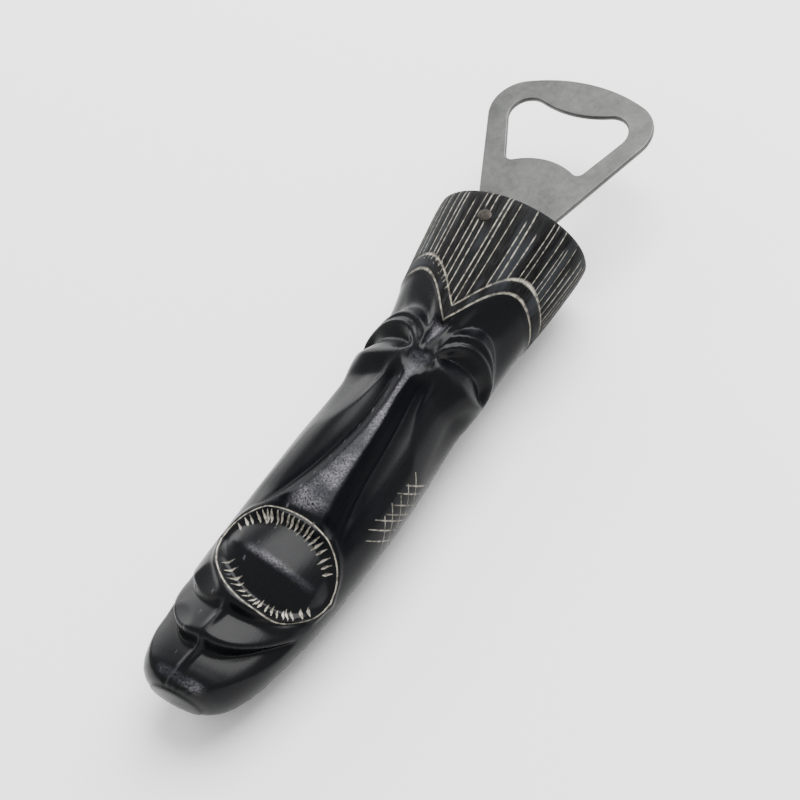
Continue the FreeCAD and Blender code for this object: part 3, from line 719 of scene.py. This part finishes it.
# each step of a head: how much wider it gets and how far out it goes
PIN_HEAD_STEPS = ((0.45, 0.02), (0.0, 0.30), (-0.35, 0.15), (-0.45, 0.07))
bpy.ops.object.select_all(action="DESELECT")
bpy.ops.mesh.primitive_cylinder_add(vertices=48, radius=PIN_RADIUS * MM, depth=2 * PIN_HALF * MM)
pin = bpy.context.object
pin.name = "pin_turned"
bpy.ops.object.mode_set(mode="EDIT")
for end in (1, -1):
    bpy.ops.mesh.select_all(action="DESELECT")
    bpy.ops.object.mode_set(mode="OBJECT")
    for polygon in pin.data.polygons:
        polygon.select = polygon.normal.z * end > 0.9
    bpy.ops.object.mode_set(mode="EDIT")
    radius = PIN_RADIUS
    for spread, lift in PIN_HEAD_STEPS:
        bpy.ops.mesh.extrude_region_move(TRANSFORM_OT_translate={"value": (0, 0, end * lift * MM)})
        grow = (radius + spread) / radius
        bpy.ops.transform.resize(value=(grow, grow, 1.0), center_override=(0, 0, 0))
        radius += spread
bpy.ops.object.mode_set(mode="OBJECT")
pin.data.transform(plate_frame @ Matrix.Translation(Vector((PIN_SPOT[0], RIM_Y - PIN_SPOT[1], 0)) * MM))
bpy.ops.object.shade_smooth_by_angle(angle=math.radians(40))
# brass gone brown: dull, low colour, with darker blotches
brass, tree, shader = new_material("tarnished_brass")
here = node(tree, "ShaderNodeTexCoord").outputs["Object"]
tarnish = node(tree, "ShaderNodeTexNoise", [(here, "Vector")], Scale=cells(0.556), Detail=4.0)
tone = node(tree, "ShaderNodeValToRGB", [(tarnish.outputs["Fac"], "Fac")],
            stops=((0.35, "#14110e"), (0.68, "#2f2921")))
tree.links.new(tone.outputs[0], shader.inputs["Base Color"])
shader.inputs["Metallic"].default_value = 0.7
shader.inputs["Roughness"].default_value = 0.5
pin.data.materials.append(brass)
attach(pin, "root")
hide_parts("cross_pin")

# ------------------------------------------------------------------ slot adhesive
# Clear epoxy run into the sawn slot round the tang.  It fills what the saw left wider than the plate,
# and it has set dull amber and full of black dust.
epoxy, tree, shader = new_material("dusty_epoxy")
here = node(tree, "ShaderNodeTexCoord").outputs["Object"]
dust = node(tree, "ShaderNodeTexNoise", [(here, "Vector")], Scale=cells(0.833), Detail=4.0)
tone = node(tree, "ShaderNodeValToRGB", [(dust.outputs["Fac"], "Fac")],
            stops=((0.4, "#0c0b09"), (0.7, "#3a3020")))
tree.links.new(tone.outputs[0], shader.inputs["Base Color"])
shader.inputs["Roughness"].default_value = 0.45
glue = bpy.data.objects["slot_adhesive"]
glue.data.materials.clear()
glue.data.materials.append(epoxy)

# ------------------------------------------------------------------ floor, light and camera
# White paper lies under the opener.  A wide softbox hangs beyond the crown, a weaker one to the left,
# and the camera looks down on the face from the chin's side.
bpy.ops.object.select_all(action="DESELECT")
bpy.ops.mesh.primitive_plane_add(size=4.0, location=(0, 0, 0))
floor = bpy.context.object
floor.name = "floor"
paper, tree, shader = new_material("white_paper_sweep")
shader.inputs["Base Color"].default_value = linear("#f4f4f4")
shader.inputs["Roughness"].default_value = 0.9
floor.data.materials.append(paper)

world = bpy.data.worlds.new("studio")
bpy.context.scene.world = world
world.use_nodes = True
surround = world.node_tree.nodes["Background"]
surround.inputs["Color"].default_value = (1, 1, 1, 1)
surround.inputs["Strength"].default_value = 1.15


def softbox(name, place, size, power):
    """A square area light at a place in metres, turned towards the opener."""
    light = bpy.data.lights.new(name, "AREA")
    light.size = size
    light.energy = power
    lamp = bpy.data.objects.new(name, light)
    bpy.context.scene.collection.objects.link(lamp)
    lamp.location = place
    lamp.rotation_euler = (-Vector(place)).to_track_quat("-Z", "Y").to_euler()


softbox("crown_softbox", (0.13, 0.70, 0.98), 1.05, 43.0)
softbox("left_softbox", (-0.95, 0.60, 0.45), 0.8, 9.0)

CAMERA_STAND = (180.83, -216.65, 315.84)
CAMERA_LOOK = (-0.4646, 0.3690, -0.8050)
CAMERA_UP = (-0.2788, 0.8019, 0.5284)
camera_data = bpy.data.cameras.new("camera")
camera_data.lens = 85.5
camera_data.sensor_width = 36.0
camera = bpy.data.objects.new("camera", camera_data)
bpy.context.scene.collection.objects.link(camera)
look = Vector(CAMERA_LOOK).normalized()
right = look.cross(Vector(CAMERA_UP)).normalized()
camera_turn = Matrix((right, right.cross(look), -look)).transposed().to_4x4()
camera.matrix_world = plate_frame @ Matrix.Translation(Vector(CAMERA_STAND) * MM) @ camera_turn
bpy.context.scene.camera = camera
